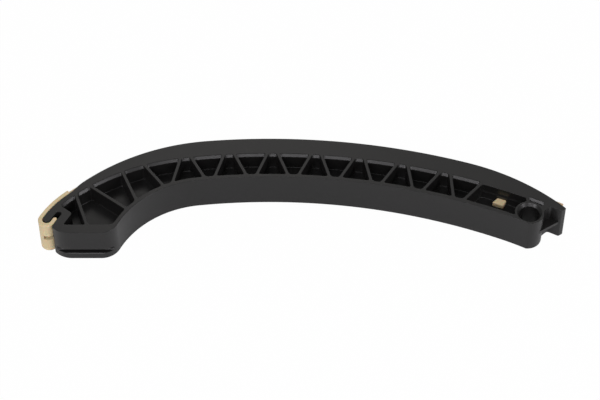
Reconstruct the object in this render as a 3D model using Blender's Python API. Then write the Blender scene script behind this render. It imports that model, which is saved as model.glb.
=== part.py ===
"""Timing chain guide: a ribbed polyamide rail body that carries a pale polyamide slide lining.

The rail lies on its side face. X runs along the rail, Y towards the chain and Z across the rail's width.
Plan positions are in millimetres. They start at the crown, the point of the sliding face where the main
arcs have their common middle line. Turns are degrees that a line has turned from its direction at the crown.
"""

import math

import bmesh
import bpy
from mathutils import Vector

MM = 0.001

# Across the rail
RAIL_WIDTH = 19.0
WEB = 1.8
SIDE_WALL = 1.8

# The arcs of the sliding face, and where they start
CHAIN_RADIUS = 300.0
LEFT_RADIUS = 101.3
LEFT_START = 44.5
NOSE_RADIUS = 50.4
NOSE_START_TURN = 44.0
TIP_TURN = 65.3

# The crest of the side walls
CREST_RISE = 5.0
CREST_LEFT_RADIUS = 102.0
CREST_LEFT_START = 30.9
CREST_LEFT_TURN = 38.6
CREST_LEFT_DROP = 0.85
CREST_RIGHT_RADIUS = 110.5
CREST_RIGHT_START = 98.7
CREST_RIGHT_TURN = 29.08
CREST_RIGHT_DROP = 3.6
RAMP_FOOT_TURN = 42.6

# Lining and the flange that it lies on
LINING = 2.1
FIT = 0.3
FLANGE = 3.8
FLANGE_END = 150.9
LINING_END = 149.3
LINING_END_INSET = 0.3
RETURN_LENGTH = 1.9
SLOT_LENGTH = 5.2

# The concave side
RAIL_DEPTH = 25.6
BELLY_WALL = 2.0
BELLY_LEFT_RADIUS = 47.5
BELLY_LEFT_START = 37.5

# Pad for the tensioner's piston
PAD_DROP = 56.6
PAD_WALL = 5.4
PAD_CORNER_RADIUS = 9.5
PAD_TOE_RADIUS = 8.0
PAD_LEFT_TURN = 70.0
PAD_FACET = 5.4
GROOVE_DEPTH = 1.6
GROOVE_HEIGHT = 2.4
GROOVE_LEVEL = 4.4

# Ribs
RIB = 1.5
POCKET_FILLET = 0.9
EDGE_CHAMFER = 1.1
TRUSS_FIRST = -53.0
TRUSS_PITCH = 21.9
TRUSS_CELLS = 7
BELLY_GAP = 5.8
FLANGE_GAP = 6.2
LEFT_RIB_TURNS = ((36.7, 54.0), (26.3, 45.7), (19.2, 27.4))
PAD_RIB_TURN = 42.3
PAD_RIB_FOOT = 11.2
HEEL_TURN = 52.3
HEEL_REACH = 6.5
HEEL_RISE = 0.4
HEEL_FOOT = 5.3

# Pivot boss
PIVOT_STATION = 137.0
PIVOT_DEPTH = 14.2
BORE_RADIUS = 4.85
BORE_CHAMFER = 1.3
BOSS_WALL = 2.25
BOSS_RIB_LEAN = -0.3
BRIDGE_START = 141.7
BRIDGE_END = 144.7
BRIDGE_FOOT_TURN = 84.0

# Latch of the lining
LATCH_STATION = 119.9
LATCH_LENGTH = 4.4
LATCH_HEIGHT = 6.8
LATCH_REACH = 6.0
LEDGE = 0.7
LEDGE_DEPTH = 4.4

# Facets
FACET = 6.0
SMALL_ARC_STEP = 15.0
FILLET_STEPS = 3
BORE_SEGMENTS = 40

# Degrees on both sides of a rib's own turn in which its sides are looked for
SEARCH = 25.0

# Worked out from the sizes above
SEAT = -(LINING + FIT)
FLANGE_IN = SEAT - FLANGE
TIP_RADIUS = FLANGE / 2
SLOT_WIDTH = LINING + 2 * FIT
BOSS_RADIUS = BORE_RADIUS + BOSS_WALL
BELLY_RADIUS = CHAIN_RADIUS + CREST_RISE - RAIL_DEPTH
WEB_LOW = (RAIL_WIDTH - WEB) / 2
WEB_TOP = (RAIL_WIDTH + WEB) / 2
BEYOND = 2.0


def heading(turn):
    """The unit vector that points away from an arc's centre, turned from +Y towards +X."""
    return Vector((math.sin(math.radians(turn)), math.cos(math.radians(turn))))


def turn_at(station):
    """Turn of the main arc at a distance along the sliding face from the crown."""
    return math.degrees(station / CHAIN_RADIUS)


MAIN_CENTRE = Vector((0.0, -CHAIN_RADIUS))
LEFT_TURN = -turn_at(LEFT_START)
LEFT_CENTRE = MAIN_CENTRE + (CHAIN_RADIUS - LEFT_RADIUS) * heading(LEFT_TURN)
NOSE_CENTRE = LEFT_CENTRE + (LEFT_RADIUS - NOSE_RADIUS) * heading(-NOSE_START_TURN)
PIVOT = MAIN_CENTRE + (CHAIN_RADIUS - PIVOT_DEPTH) * heading(turn_at(PIVOT_STATION))
BELLY_LEFT_TURN = -turn_at(BELLY_LEFT_START)
BELLY_LEFT_CENTRE = MAIN_CENTRE + (BELLY_RADIUS - BELLY_LEFT_RADIUS) * heading(BELLY_LEFT_TURN)


def rail_point(offset, turn):
    """A point at an offset from the sliding face, outward positive."""
    if turn >= LEFT_TURN:
        return MAIN_CENTRE + (CHAIN_RADIUS + offset) * heading(turn)
    if turn >= -NOSE_START_TURN:
        return LEFT_CENTRE + (LEFT_RADIUS + offset) * heading(turn)
    return NOSE_CENTRE + (NOSE_RADIUS + offset) * heading(turn)


def rail_turn(point):
    """The turn at which a point stands beside the sliding face."""
    turn = turn_of(point - MAIN_CENTRE)
    if turn < LEFT_TURN:
        turn = turn_of(point - LEFT_CENTRE)
    if turn < -NOSE_START_TURN:
        turn = turn_of(point - NOSE_CENTRE)
    return turn


def belly_turn_of(point):
    """The turn at which a point stands beside the concave face."""
    turn = turn_of(point - MAIN_CENTRE)
    return turn if turn > BELLY_LEFT_TURN else turn_of(point - BELLY_LEFT_CENTRE)


def belly_point(offset, turn):
    """A point at an offset from the concave face, positive towards the chain."""
    if turn >= BELLY_LEFT_TURN:
        return MAIN_CENTRE + (BELLY_RADIUS + offset) * heading(turn)
    return BELLY_LEFT_CENTRE + (BELLY_LEFT_RADIUS + offset) * heading(turn)


def crest_centre(radius, turn):
    """Centre of the arc that the crest ends in, which leaves its main arc at a turn."""
    return MAIN_CENTRE + (CHAIN_RADIUS + CREST_RISE - radius) * heading(turn)


def crest_point(turn):
    """A point on the arcs of the side walls' crest."""
    left, right = -turn_at(CREST_LEFT_START), turn_at(CREST_RIGHT_START)
    if turn < left:
        return crest_centre(CREST_LEFT_RADIUS, left) + CREST_LEFT_RADIUS * heading(turn)
    if turn > right:
        return crest_centre(CREST_RIGHT_RADIUS, right) + CREST_RIGHT_RADIUS * heading(turn)
    return MAIN_CENTRE + (CHAIN_RADIUS + CREST_RISE) * heading(turn)


def crest_end(centre, radius, end, side):
    """Turn at which an arc of the crest heads straight for its end, or stands above it."""
    away = end - centre
    return turn_of(away) - side * math.degrees(math.acos(min(1.0, radius / away.length)))


def crest_line():
    """The crest from left to right. It runs on straight where an arc falls short of its end."""
    left, right = -turn_at(CREST_LEFT_START), turn_at(CREST_RIGHT_START)
    ends = rail_point(-CREST_LEFT_DROP, -CREST_LEFT_TURN), rail_point(-CREST_RIGHT_DROP, CREST_RIGHT_TURN)
    first = crest_end(crest_centre(CREST_LEFT_RADIUS, left), CREST_LEFT_RADIUS, ends[0], -1)
    last = crest_end(crest_centre(CREST_RIGHT_RADIUS, right), CREST_RIGHT_RADIUS, ends[1], 1)
    points = along(crest_point, first, last)
    if (points[0] - ends[0]).length > FIT and ends[0].x < points[0].x:
        points.insert(0, ends[0])
    if (points[-1] - ends[1]).length > FIT and ends[1].x > points[-1].x:
        points.append(ends[1])
    return points


def along(curve, start, end, count=None):
    """Points along a curve of turns, evenly spaced: about one facet apart, or a given count of steps."""
    fine = 240
    turns = [start + (end - start) * i / fine for i in range(fine + 1)]
    path = [curve(turn) for turn in turns]
    length = sum((b - a).length for a, b in zip(path, path[1:]))
    if count is None:
        count = max(1, round(length / FACET))
    points = [path[0]]
    travelled = 0.0
    for a, b in zip(path, path[1:]):
        travelled += (b - a).length
        if travelled >= length * len(points) / count - 1e-6 and len(points) < count:
            points.append(b)
    return points + [path[-1]]


def rail_line(offset, start, end, count=None):
    return along(lambda turn: rail_point(offset, turn), start, end, count)


def belly_line(offset, start, end):
    return along(lambda turn: belly_point(offset, turn), start, end)


def arc(centre, radius, start, end):
    """Points along an arc from one turn to another."""
    count = max(1, math.ceil(abs(end - start) / SMALL_ARC_STEP))
    return [centre + radius * heading(start + (end - start) * i / count) for i in range(count + 1)]


def turn_of(vector):
    return math.degrees(math.atan2(vector.x, vector.y))


def crossing(curve, point, along_line, side, near):
    """Turn, near a given one, at which a curve crosses the line through a point, moved to its right."""
    right = Vector((along_line.y, -along_line.x)).normalized()
    low, high = near - SEARCH, near + SEARCH

    def miss(turn):
        return (curve(turn) - point).dot(right) - side

    for _ in range(60):
        middle = (low + high) / 2
        if (miss(low) > 0) == (miss(middle) > 0):
            low = middle
        else:
            high = middle
    return (low + high) / 2


def fillet(before, corner, after, radius, share=0.45):
    """Points of a round at a corner, which takes up to a share of the lines on both sides."""
    back, ahead = before - corner, after - corner
    opening = back.angle(ahead)
    reach = min(radius / math.tan(opening / 2), share * back.length, share * ahead.length)
    inner = reach * math.tan(opening / 2)
    middle = (back.normalized() + ahead.normalized()).normalized()
    centre = corner + middle * (inner / math.sin(opening / 2))
    first = turn_of(corner + back.normalized() * reach - centre)
    last = turn_of(corner + ahead.normalized() * reach - centre)
    sweep = (last - first + 180) % 360 - 180
    return [centre + inner * heading(first + sweep * j / FILLET_STEPS) for j in range(FILLET_STEPS + 1)]


def rounded(outline, radius):
    """The outline with its sharp corners rounded. Corners of a faceted arc stay."""
    points = []
    for i, corner in enumerate(outline):
        before, after = outline[i - 1], outline[(i + 1) % len(outline)]
        if math.degrees((before - corner).angle(after - corner)) > 150:
            points.append(corner)
        else:
            points += fillet(before, corner, after, radius)
    return points


# Making and joining solids


def mesh_object(name, mesh, collection):
    obj = bpy.data.objects.new(name, mesh)
    collection.objects.link(obj)
    return obj


def plate(name, outline, low, high, collection):
    """A flat outline between two levels: a filled 2D curve, extruded, made a mesh and welded.

    Each end is then one face again, so that a Boolean leaves no splinters along the curve's fill.
    """
    curve = bpy.data.curves.new(name, "CURVE")
    curve.dimensions = "2D"
    curve.fill_mode = "BOTH"
    curve.extrude = (high - low) / 2 * MM
    spline = curve.splines.new("POLY")
    spline.points.add(len(outline) - 1)
    for point, place in zip(spline.points, outline):
        point.co = (place.x * MM, place.y * MM, 0.0, 1.0)
    spline.use_cyclic_u = True
    guide = bpy.data.objects.new(name + "_curve", curve)
    guide.location.z = (low + high) / 2 * MM
    collection.objects.link(guide)
    bpy.context.view_layer.update()
    graph = bpy.context.evaluated_depsgraph_get()
    mesh = bpy.data.meshes.new_from_object(guide.evaluated_get(graph))
    mesh.transform(guide.matrix_world)
    bpy.data.objects.remove(guide)
    shape = bmesh.new()
    shape.from_mesh(mesh)
    bmesh.ops.remove_doubles(shape, verts=shape.verts, dist=1e-6)
    bmesh.ops.dissolve_limit(shape, angle_limit=1e-3, verts=shape.verts, edges=shape.edges)
    bmesh.ops.recalc_face_normals(shape, faces=shape.faces)
    shape.to_mesh(mesh)
    shape.free()
    return mesh_object(name, mesh, collection)


def loft(name, rings, collection):
    """A solid through outlines with equal numbers of points, each given with its level."""
    shape = bmesh.new()
    loops = [[shape.verts.new((p.x * MM, p.y * MM, level * MM)) for p in ring] for level, ring in rings]
    for lower, upper in zip(loops, loops[1:]):
        for i in range(len(lower)):
            j = (i + 1) % len(lower)
            shape.faces.new((lower[i], lower[j], upper[j], upper[i]))
    shape.faces.new(loops[0])
    shape.faces.new(loops[-1])
    bmesh.ops.remove_doubles(shape, verts=shape.verts, dist=1e-6)
    bmesh.ops.recalc_face_normals(shape, faces=shape.faces)
    mesh = bpy.data.meshes.new(name)
    shape.to_mesh(mesh)
    shape.free()
    return mesh_object(name, mesh, collection)


def merged(name, pieces, collection):
    """Separate solids as one object, so that one Boolean takes them all."""
    shape = bmesh.new()
    for piece in pieces:
        shape.from_mesh(piece.data)
        bpy.data.objects.remove(piece)
    mesh = bpy.data.meshes.new(name)
    shape.to_mesh(mesh)
    shape.free()
    return mesh_object(name, mesh, collection)


def boolean(target, tool, operation):
    """Adds a Boolean to the target and hides the tool from renders."""
    step = target.modifiers.new(tool.name, "BOOLEAN")
    step.operation = operation
    step.solver = "EXACT"
    step.object = tool
    tool.display_type = "WIRE"
    tool.hide_render = True


# Rail body


def boss_meets_belly(offset):
    """Turn, about the pivot, at which the boss meets a line beside the concave face."""
    radius = BELLY_RADIUS + offset
    distance = CHAIN_RADIUS - PIVOT_DEPTH
    cosine = (distance**2 + BOSS_RADIUS**2 - radius**2) / (2 * distance * BOSS_RADIUS)
    return turn_of(MAIN_CENTRE - PIVOT) + math.degrees(math.acos(cosine))


def pad_corner():
    """Centre of the pad's round corner, and its turn where it meets the concave face."""
    y = -PAD_DROP + PAD_CORNER_RADIUS
    reach = BELLY_LEFT_RADIUS + PAD_CORNER_RADIUS
    drop = y - BELLY_LEFT_CENTRE.y
    centre = Vector((BELLY_LEFT_CENTRE.x - math.sqrt(reach**2 - drop**2), y))
    return centre, turn_of(centre - BELLY_LEFT_CENTRE)


def slot_root_turn():
    """Turn at the middle of the slot's round root."""
    middle = NOSE_RADIUS + FLANGE_IN - SLOT_WIDTH / 2
    return -TIP_TURN + math.degrees(SLOT_LENGTH / middle)


def tip_centre():
    return rail_point(SEAT - TIP_RADIUS, -TIP_TURN)


def body_outline():
    """The rail's side view, clockwise from the finger's tip."""
    corner, corner_turn = pad_corner()
    belly_meets = boss_meets_belly(0.0)
    belly_start = turn_of(PIVOT + BOSS_RADIUS * heading(belly_meets) - MAIN_CENTRE)
    root = slot_root_turn()
    slot_in = FLANGE_IN - SLOT_WIDTH
    root_centre = rail_point(FLANGE_IN - SLOT_WIDTH / 2, root)
    bridge_top = rail_point(FLANGE_IN, turn_at(BRIDGE_END))
    pad_left = rail_point(slot_in, -PAD_LEFT_TURN)
    facet_drop = pad_left.y + PAD_DROP
    facet_foot = Vector((pad_left.x + math.sqrt(max(PAD_FACET**2 - facet_drop**2, 1.0)), -PAD_DROP))
    points = rail_line(SEAT, -TIP_TURN, -RAMP_FOOT_TURN)
    points += crest_line()
    points += rail_line(FLANGE_IN, turn_at(FLANGE_END), turn_at(BRIDGE_END))[:-1]
    points += [bridge_top]
    points += arc(PIVOT, BOSS_RADIUS, BRIDGE_FOOT_TURN, belly_meets + 360)
    points += belly_line(0.0, belly_start, corner_turn)[1:-1]
    points += arc(corner, PAD_CORNER_RADIUS, corner_turn + 180, 180)
    points += fillet(points[-1], facet_foot, pad_left, PAD_TOE_RADIUS, 0.8) + [pad_left]
    points += rail_line(slot_in, -PAD_LEFT_TURN, root)[1:-1]
    points += arc(root_centre, SLOT_WIDTH / 2, root + 180, root)
    points += rail_line(FLANGE_IN, root, -TIP_TURN)[1:-1]
    points += arc(tip_centre(), TIP_RADIUS, 180 - TIP_TURN, 360 - TIP_TURN)[:-1]
    return points


def heel_foot():
    """The corner of the heel's pocket on the pad's inner face, beside the slot."""
    return Vector((rail_point(FLANGE_IN - SLOT_WIDTH, -PAD_LEFT_TURN).x + HEEL_FOOT, PAD_WALL - PAD_DROP))


def ribs():
    """Each rib of the truss as two points of its middle line, on the flange and on the belly wall."""
    lines = [(rail_point(FLANGE_IN, -PAD_RIB_TURN), heel_foot() + Vector((PAD_RIB_FOOT, 0.0)))]
    for flange_turn, belly_turn in LEFT_RIB_TURNS:
        lines.append((rail_point(FLANGE_IN, -flange_turn), belly_point(BELLY_WALL, -belly_turn)))
    for cell in range(TRUSS_CELLS + 1):
        node = TRUSS_FIRST + cell * TRUSS_PITCH
        top = node + TRUSS_PITCH / 2
        pairs = [(top - FLANGE_GAP / 2, node + BELLY_GAP / 2)]
        if cell < TRUSS_CELLS:
            pairs.append((top + FLANGE_GAP / 2, node + TRUSS_PITCH - BELLY_GAP / 2))
        for flange_station, belly_station in pairs:
            head = MAIN_CENTRE + (CHAIN_RADIUS + FLANGE_IN) * heading(turn_at(flange_station))
            foot = MAIN_CENTRE + (BELLY_RADIUS + BELLY_WALL) * heading(turn_at(belly_station))
            lines.append((head, foot))
    return lines


def boss_rib():
    """Middle line of the rib that stands between the flange and the boss."""
    foot = PIVOT + Vector((BOSS_RIB_LEAN, 0.0))
    turn = crossing(lambda a: rail_point(FLANGE_IN, a), foot, Vector((0, 1)), 0.0, turn_at(PIVOT_STATION))
    return rail_point(FLANGE_IN, turn), foot


def flange_turn(line, side, offset):
    """Turn at which one side of a rib meets a line beside the flange's inner face."""
    head, foot = line
    return crossing(lambda a: rail_point(offset, a), foot, head - foot, side, rail_turn(head))


def belly_turn(line, side):
    """Turn at which one side of a rib meets the belly wall."""
    head, foot = line
    return crossing(lambda a: belly_point(BELLY_WALL, a), foot, head - foot, side, belly_turn_of(foot))


def flange_between(left, right, offset, start=None, end=None):
    """The flange's side of a pocket. A line beside the flange gets the same count of points."""
    lines = []
    for beside in (FLANGE_IN, offset):
        first = flange_turn(left, RIB / 2, beside) if start is None else start
        last = flange_turn(right, -RIB / 2, beside) if end is None else end
        count = len(lines[0]) - 1 if lines else None
        lines.append(rail_line(beside, first, last, count))
    return lines[1]


def pad_level(line, side):
    """The point where one side of a rib meets the pad's inner face."""
    head, foot = line
    ahead = (head - foot).normalized()
    start = foot + Vector((ahead.y, -ahead.x)) * side
    return start + ahead * ((PAD_WALL - PAD_DROP - start.y) / ahead.y)


def heel_pocket(first, offset):
    """The pocket beside the slot for the lining's hook."""
    root = rail_point(FLANGE_IN - SLOT_WIDTH / 2, slot_root_turn())
    flange = flange_between(None, first, offset, start=-HEEL_TURN)
    corner = root + Vector((HEEL_REACH, HEEL_RISE))
    return flange + [pad_level(first, -RIB / 2), heel_foot(), corner]


def pad_pocket(first, second, offset):
    """The pocket above the pad, bounded by the concave wall on its right."""
    _, corner_turn = pad_corner()
    inside = PAD_WALL - PAD_DROP
    wall = belly_line(BELLY_WALL, belly_turn(second, -RIB / 2), corner_turn + 1.0)
    wall = [p for p in wall if p.y > inside + FIT]
    slope = (wall[-1] - wall[-2]).normalized()
    wall.append(wall[-1] + slope * ((inside - wall[-1].y) / slope.y))
    return flange_between(first, second, offset) + wall + [pad_level(first, RIB / 2)]


def boss_pocket(post, offset):
    """The small pocket between the post and the bridge, above the boss."""
    flange = flange_between(post, None, offset, end=turn_at(BRIDGE_START))
    away = turn_of(rail_point(FLANGE_IN, turn_at(BRIDGE_START)) - PIVOT)
    post_side = math.degrees(math.asin((BOSS_RIB_LEAN + RIB / 2) / BOSS_RADIUS))
    return flange + arc(PIVOT, BOSS_RADIUS, away, post_side)


def pockets(offset):
    """Outlines of the pockets with a chamfered flange edge, from left to right."""
    lines = ribs()
    found = [heel_pocket(lines[0], offset), pad_pocket(lines[0], lines[1], offset)]
    for left, right in zip(lines[1:], lines[2:]):
        wall = belly_line(BELLY_WALL, belly_turn(right, -RIB / 2), belly_turn(left, RIB / 2))
        found.append(flange_between(left, right, offset) + wall)
    return found + [boss_pocket(boss_rib(), offset)]


def latch_pocket(offset):
    """Outline of the pocket that the lining's latch reaches into."""
    left, post = ribs()[-1], boss_rib()
    post_side = math.degrees(math.asin((BOSS_RIB_LEAN - RIB / 2) / BOSS_RADIUS))
    boss = arc(PIVOT, BOSS_RADIUS, post_side, boss_meets_belly(BELLY_WALL))
    wall = belly_line(BELLY_WALL, turn_of(boss[-1] - MAIN_CENTRE), belly_turn(left, RIB / 2))
    return flange_between(left, post, offset) + boss + wall[1:]


def mirrored(rings):
    return [(RAIL_WIDTH - level, ring) for level, ring in rings]


def pocket_cutter(cutters):
    """Every pocket, from both side faces down to the web. The latch pocket keeps a ledge on the flange."""
    deep = rounded(latch_pocket(FLANGE_IN - LEDGE), POCKET_FILLET)
    wide = rounded(latch_pocket(FLANGE_IN), POCKET_FILLET)
    ledge = RAIL_WIDTH - LEDGE_DEPTH
    rings = [(WEB_TOP, deep), (ledge, deep), (ledge, wide), (RAIL_WIDTH + BEYOND, wide)]
    pieces = [loft("pocket", side, cutters) for side in (rings, mirrored(rings))]
    for outline, wide in zip(pockets(FLANGE_IN), pockets(FLANGE_IN + EDGE_CHAMFER + BEYOND)):
        rings = [
            (WEB_TOP, rounded(outline, POCKET_FILLET)),
            (RAIL_WIDTH - EDGE_CHAMFER, rounded(outline, POCKET_FILLET)),
            (RAIL_WIDTH + BEYOND, rounded(wide, POCKET_FILLET)),
        ]
        for side in (rings, mirrored(rings)):
            pieces.append(loft("pocket", side, cutters))
    return merged("pockets", pieces, cutters)


def channel_cutter(cutters):
    """The space between the side walls, above the seat of the lining."""
    seat = rail_line(SEAT, -RAMP_FOOT_TURN, turn_at(FLANGE_END) + 4)
    outer = rail_line(CREST_RISE + 3 * BEYOND, turn_at(FLANGE_END) + 4, -RAMP_FOOT_TURN)
    return plate("chain_channel", seat + outer, SIDE_WALL, RAIL_WIDTH - SIDE_WALL, cutters)


def latch_block(name, grow, low_offset, high_offset, collection):
    """A block along the rail's radius at the latch, with a clearance on every side."""
    out = heading(turn_at(LATCH_STATION))
    across = Vector((out.y, -out.x)) * (LATCH_LENGTH / 2 + grow)
    low = MAIN_CENTRE + out * (CHAIN_RADIUS + low_offset - grow)
    high = MAIN_CENTRE + out * (CHAIN_RADIUS + high_offset)
    outline = [low - across, low + across, high + across, high - across]
    rise = LATCH_HEIGHT / 2 + grow
    return plate(name, outline, RAIL_WIDTH / 2 - rise, RAIL_WIDTH / 2 + rise, collection)


def bore_cutter(cutters):
    """The pivot bore with a chamfer at each mouth."""

    def ring(radius):
        return [PIVOT + radius * heading(360 * i / BORE_SEGMENTS) for i in range(BORE_SEGMENTS)]

    mouth = BORE_RADIUS + BORE_CHAMFER + BEYOND
    rings = [(-BEYOND, ring(mouth)), (BORE_CHAMFER, ring(BORE_RADIUS))]
    return loft("pivot_bore", rings + mirrored(rings)[::-1], cutters)


def groove_cutter(cutters):
    """The groove across the tensioner pad."""
    corner, _ = pad_corner()
    left = rail_point(FLANGE_IN - SLOT_WIDTH, -PAD_LEFT_TURN).x - BEYOND
    right = corner.x + 2 * PAD_CORNER_RADIUS
    floor = -PAD_DROP + GROOVE_DEPTH
    outside = -PAD_DROP - BEYOND
    outline = [Vector((left, outside)), Vector((right, outside)), Vector((right, floor)), Vector((left, floor))]
    return plate("pad_groove", outline, GROOVE_LEVEL, GROOVE_LEVEL + GROOVE_HEIGHT, cutters)


def slot_web(cutters):
    """The web where it crosses the slot for the lining's hook."""
    root = slot_root_turn() + 3.0
    finger = rail_line(FLANGE_IN + TIP_RADIUS / 2, -TIP_TURN, root)
    pad = rail_line(FLANGE_IN - SLOT_WIDTH - 1.0, root, -PAD_LEFT_TURN + 1.2)
    return plate("slot_web", finger + pad, WEB_LOW, WEB_TOP, cutters)


def end_web(cutters):
    """The web between the boss and the flange's free end."""
    end = rail_point(FLANGE_IN, turn_at(FLANGE_END))
    to_end = end - PIVOT
    tangent_turn = turn_of(to_end) + math.degrees(math.acos(BOSS_RADIUS / to_end.length))
    inside = BOSS_RADIUS - 0.4
    flange = rail_line(FLANGE_IN + 0.5, turn_at((BRIDGE_START + BRIDGE_END) / 2), turn_at(FLANGE_END) - 0.1)
    outline = flange + [PIVOT + BOSS_RADIUS * heading(tangent_turn) - 0.02 * heading(tangent_turn)]
    outline += arc(PIVOT, inside, tangent_turn - 2, turn_of(flange[0] - PIVOT))
    return plate("end_web", outline, WEB_LOW, WEB_TOP, cutters)


def make_rail_body(parts, cutters):
    body = plate("rail_body", body_outline(), 0.0, RAIL_WIDTH, parts)
    boolean(body, channel_cutter(cutters), "DIFFERENCE")
    boolean(body, pocket_cutter(cutters), "DIFFERENCE")
    window = latch_block("latch_window", FIT, FLANGE_IN - LATCH_REACH, CREST_RISE, cutters)
    boolean(body, window, "DIFFERENCE")
    boolean(body, bore_cutter(cutters), "DIFFERENCE")
    boolean(body, groove_cutter(cutters), "DIFFERENCE")
    boolean(body, slot_web(cutters), "UNION")
    boolean(body, end_web(cutters), "UNION")
    return body


# Slide lining


def lining_outline():
    """The lining's side view: the sliding strip, the turn round the finger and the return in the slot."""
    end = turn_at(LINING_END)
    outer_return = FLANGE_IN - FIT - LINING
    inner_return = FLANGE_IN - FIT
    return_turn = -TIP_TURN + math.degrees(RETURN_LENGTH / (NOSE_RADIUS + inner_return))
    middle = rail_point((outer_return + inner_return) / 2, return_turn)
    points = rail_line(0.0, -TIP_TURN, end)
    points += rail_line(SEAT + FIT, end, -TIP_TURN)
    points += arc(tip_centre(), TIP_RADIUS + FIT, 360 - TIP_TURN, 180 - TIP_TURN)[1:]
    points += rail_line(inner_return, -TIP_TURN, return_turn)[1:-1]
    points += arc(middle, LINING / 2, return_turn, return_turn + 180)
    points += rail_line(outer_return, return_turn, -TIP_TURN)[1:-1]
    points += arc(tip_centre(), TIP_RADIUS + FIT + LINING, 180 - TIP_TURN, 360 - TIP_TURN)[:-1]
    return points


def side_wall_space(cutters):
    """What the lining leaves to the side walls, on both of its edges."""
    start = -RAMP_FOOT_TURN - math.degrees(FIT / LEFT_RADIUS)
    end = turn_at(FLANGE_END) + 4
    outline = rail_line(SEAT - BEYOND, start, end) + rail_line(BEYOND, end, start)
    edge = SIDE_WALL + FIT
    pieces = [
        plate("side_wall_space", outline, -BEYOND, edge, cutters),
        plate("side_wall_space", outline, RAIL_WIDTH - edge, RAIL_WIDTH + BEYOND, cutters),
    ]
    return merged("side_wall_spaces", pieces, cutters)


def hook_slit(cutters):
    """The slit in the lining's hook that clears the web."""
    tip = tip_centre()
    left = tip.x - TIP_RADIUS
    right = tip.x + SLOT_LENGTH + 2 * FLANGE
    low = tip.y - 2 * (TIP_RADIUS + LINING)
    high = tip.y + RETURN_LENGTH
    outline = [Vector((left, low)), Vector((right, low)), Vector((right, high)), Vector((left, high))]
    return plate("hook_slit", outline, WEB_LOW - FIT, WEB_TOP + FIT, cutters)


def make_lining(parts, cutters):
    low, high = LINING_END_INSET, RAIL_WIDTH - LINING_END_INSET
    lining = plate("slide_lining", lining_outline(), low, high, parts)
    boolean(lining, side_wall_space(cutters), "DIFFERENCE")
    boolean(lining, hook_slit(cutters), "DIFFERENCE")
    latch = latch_block("latch", 0.0, FLANGE_IN - LATCH_REACH, -LINING / 2, cutters)
    boolean(lining, latch, "UNION")
    return lining


# Materials and the assembly


def material(name, colour, roughness):
    made = bpy.data.materials.new(name)
    made.use_nodes = True
    shader = made.node_tree.nodes["Principled BSDF"]
    shader.inputs["Base Color"].default_value = (*colour, 1.0)
    shader.inputs["Roughness"].default_value = roughness
    shader.inputs["Metallic"].default_value = 0.0
    return made


def main():
    for obj in list(bpy.data.objects):
        bpy.data.objects.remove(obj)
    scene = bpy.context.scene.collection
    parts = bpy.data.collections.new("chain_guide")
    cutters = bpy.data.collections.new("cutters")
    scene.children.link(parts)
    scene.children.link(cutters)
    body = make_rail_body(parts, cutters)
    lining = make_lining(parts, cutters)
    body.data.materials.append(material("glass_filled_polyamide", (0.035, 0.034, 0.033), 0.45))
    lining.data.materials.append(material("natural_polyamide", (0.74, 0.66, 0.46), 0.4))
    place_on_centre(parts, cutters, (body, lining))


def place_on_centre(parts, cutters, pieces):
    """Moves everything with one empty, so that the origin is under the middle of the part's box."""
    bpy.context.view_layer.update()
    graph = bpy.context.evaluated_depsgraph_get()
    corners = [Vector(c) for piece in pieces for c in piece.evaluated_get(graph).bound_box]
    low = Vector(min(c[axis] for c in corners) for axis in range(3))
    high = Vector(max(c[axis] for c in corners) for axis in range(3))
    frame = bpy.data.objects.new("chain_guide_frame", None)
    parts.objects.link(frame)
    frame.location = (-(low.x + high.x) / 2, -(low.y + high.y) / 2, -low.z)
    for obj in list(parts.objects) + list(cutters.objects):
        if obj is not frame:
            obj.parent = frame


main()
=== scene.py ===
"""Looks of the timing chain guide: a black ribbed rail moulded in glass-filled polyamide, with a pale slide
lining of natural polyamide snapped on to it.

Plan positions are in millimetres from the crown of the sliding face. X runs along the rail, Y towards the
chain and Z across the rail's width. Turns are degrees that a line has turned from its direction at the crown.
"""

import math

import bmesh
import bpy
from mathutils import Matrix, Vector


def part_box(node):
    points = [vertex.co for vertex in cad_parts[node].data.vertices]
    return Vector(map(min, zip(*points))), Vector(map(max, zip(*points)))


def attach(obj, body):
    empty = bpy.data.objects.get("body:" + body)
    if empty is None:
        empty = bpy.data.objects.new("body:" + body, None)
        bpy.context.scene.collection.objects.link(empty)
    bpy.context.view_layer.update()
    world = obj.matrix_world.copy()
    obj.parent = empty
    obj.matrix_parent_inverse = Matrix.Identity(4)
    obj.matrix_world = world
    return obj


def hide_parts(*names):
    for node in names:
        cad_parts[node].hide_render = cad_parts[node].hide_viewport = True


MM = 0.001

# Across the rail
RAIL_WIDTH = 19.0
WEB = 1.8
SIDE_WALL = 1.8

# The arcs of the sliding face, and where they start
CHAIN_RADIUS = 300.0
LEFT_RADIUS = 101.3
LEFT_START = 44.5
NOSE_RADIUS = 50.4
NOSE_START_TURN = 44.0
TIP_TURN = 65.3

# The crest of the side walls
CREST_RISE = 5.0
CREST_LEFT_RADIUS = 102.0
CREST_LEFT_START = 30.9
CREST_LEFT_TURN = 38.6
CREST_LEFT_DROP = 0.85
CREST_RIGHT_RADIUS = 110.5
CREST_RIGHT_START = 98.7
CREST_RIGHT_TURN = 29.08
CREST_RIGHT_DROP = 3.6
RAMP_FOOT_TURN = 42.6

# Lining and the flange that it lies on
LINING = 2.1
FIT = 0.3
FLANGE = 3.8
FLANGE_END = 150.9
LINING_END = 149.3
LINING_END_INSET = 0.3
RETURN_LENGTH = 1.9
SLOT_LENGTH = 5.2

# The concave side
RAIL_DEPTH = 25.6
BELLY_WALL = 2.0
BELLY_LEFT_RADIUS = 47.5
BELLY_LEFT_START = 37.5

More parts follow.
